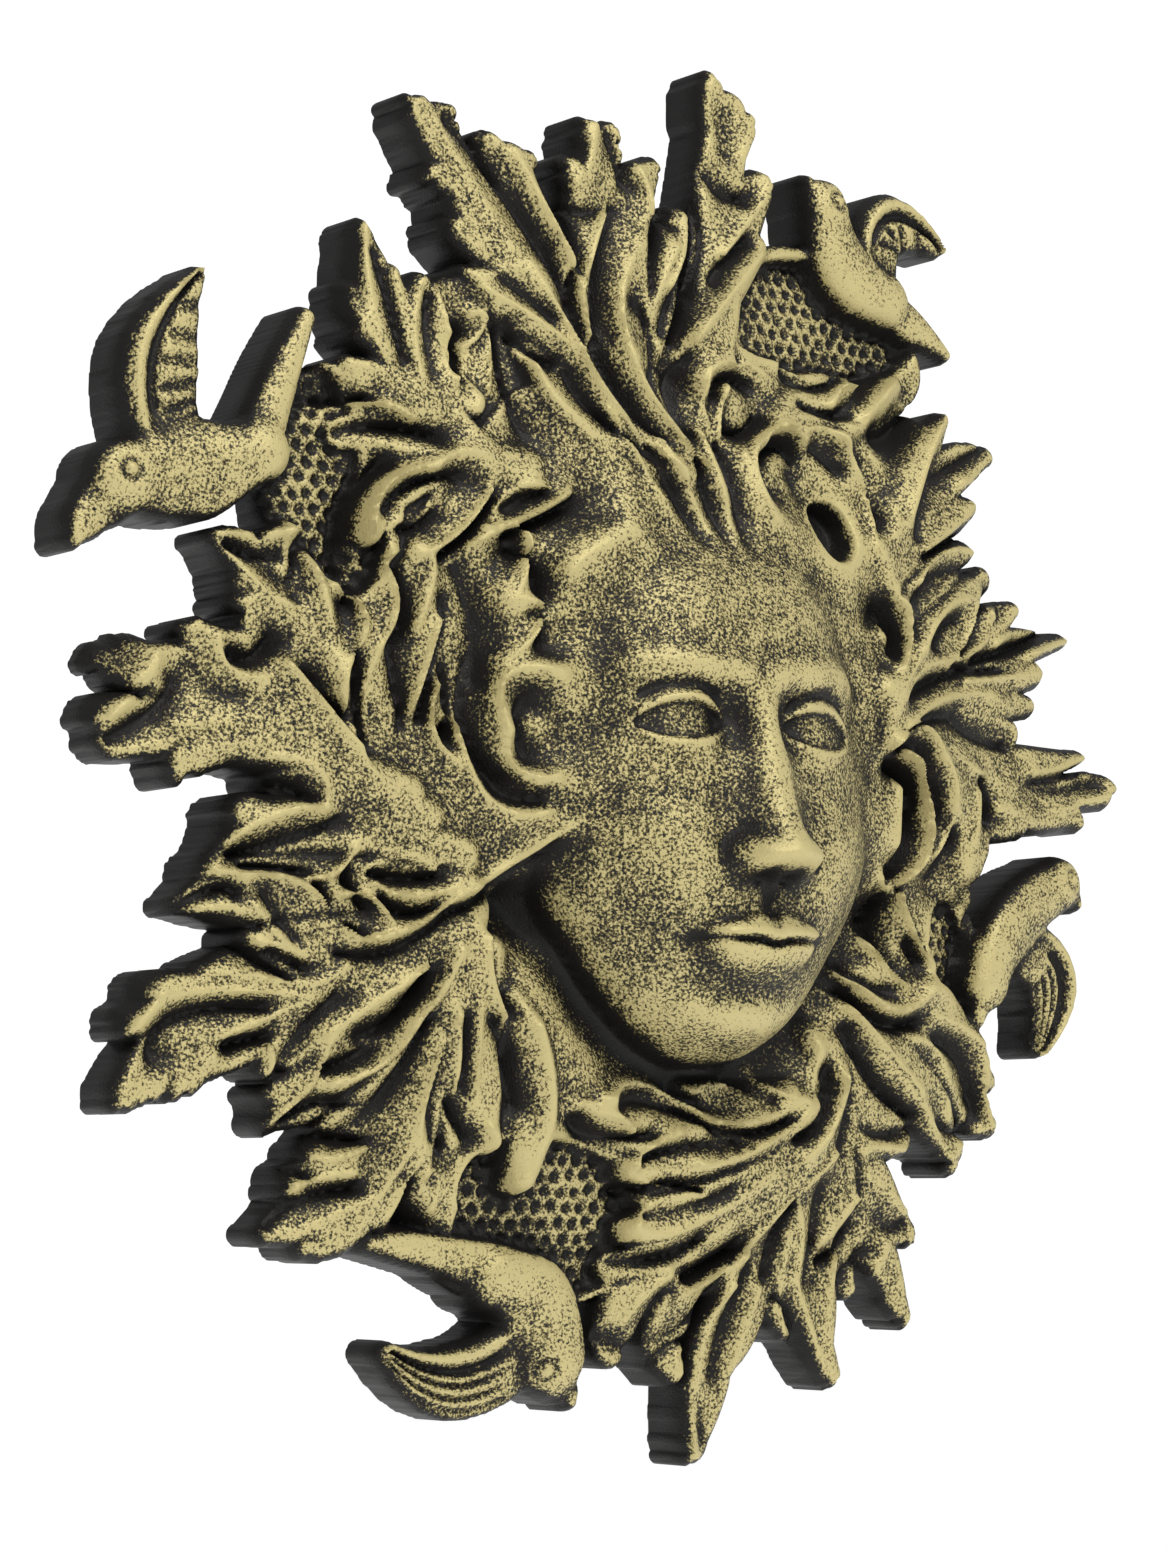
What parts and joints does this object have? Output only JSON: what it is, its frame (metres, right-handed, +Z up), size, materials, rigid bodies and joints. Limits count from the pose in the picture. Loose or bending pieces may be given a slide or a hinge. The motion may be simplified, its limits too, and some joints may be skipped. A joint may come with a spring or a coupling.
{
  "type": "wall plaque",
  "caption": "Carved wall plaque: a calm face ringed by acanthus leaves, small doves and netted ground, one casting with a flat back.",
  "frame": {"origin": "on the flat back, in the middle of the plaque", "axes": "+Z up the wall, +X to the viewer's right, -Y out of the wall towards the viewer"},
  "size_m": [0.3245, 0.064, 0.3472],
  "materials": {
    "casting": "cast stone painted black, raised parts dry-brushed pale brass gold, satin"
  },
  "bodies": {
    "root": {"plaque_casting": "casting"}
  },
  "joints": []
}
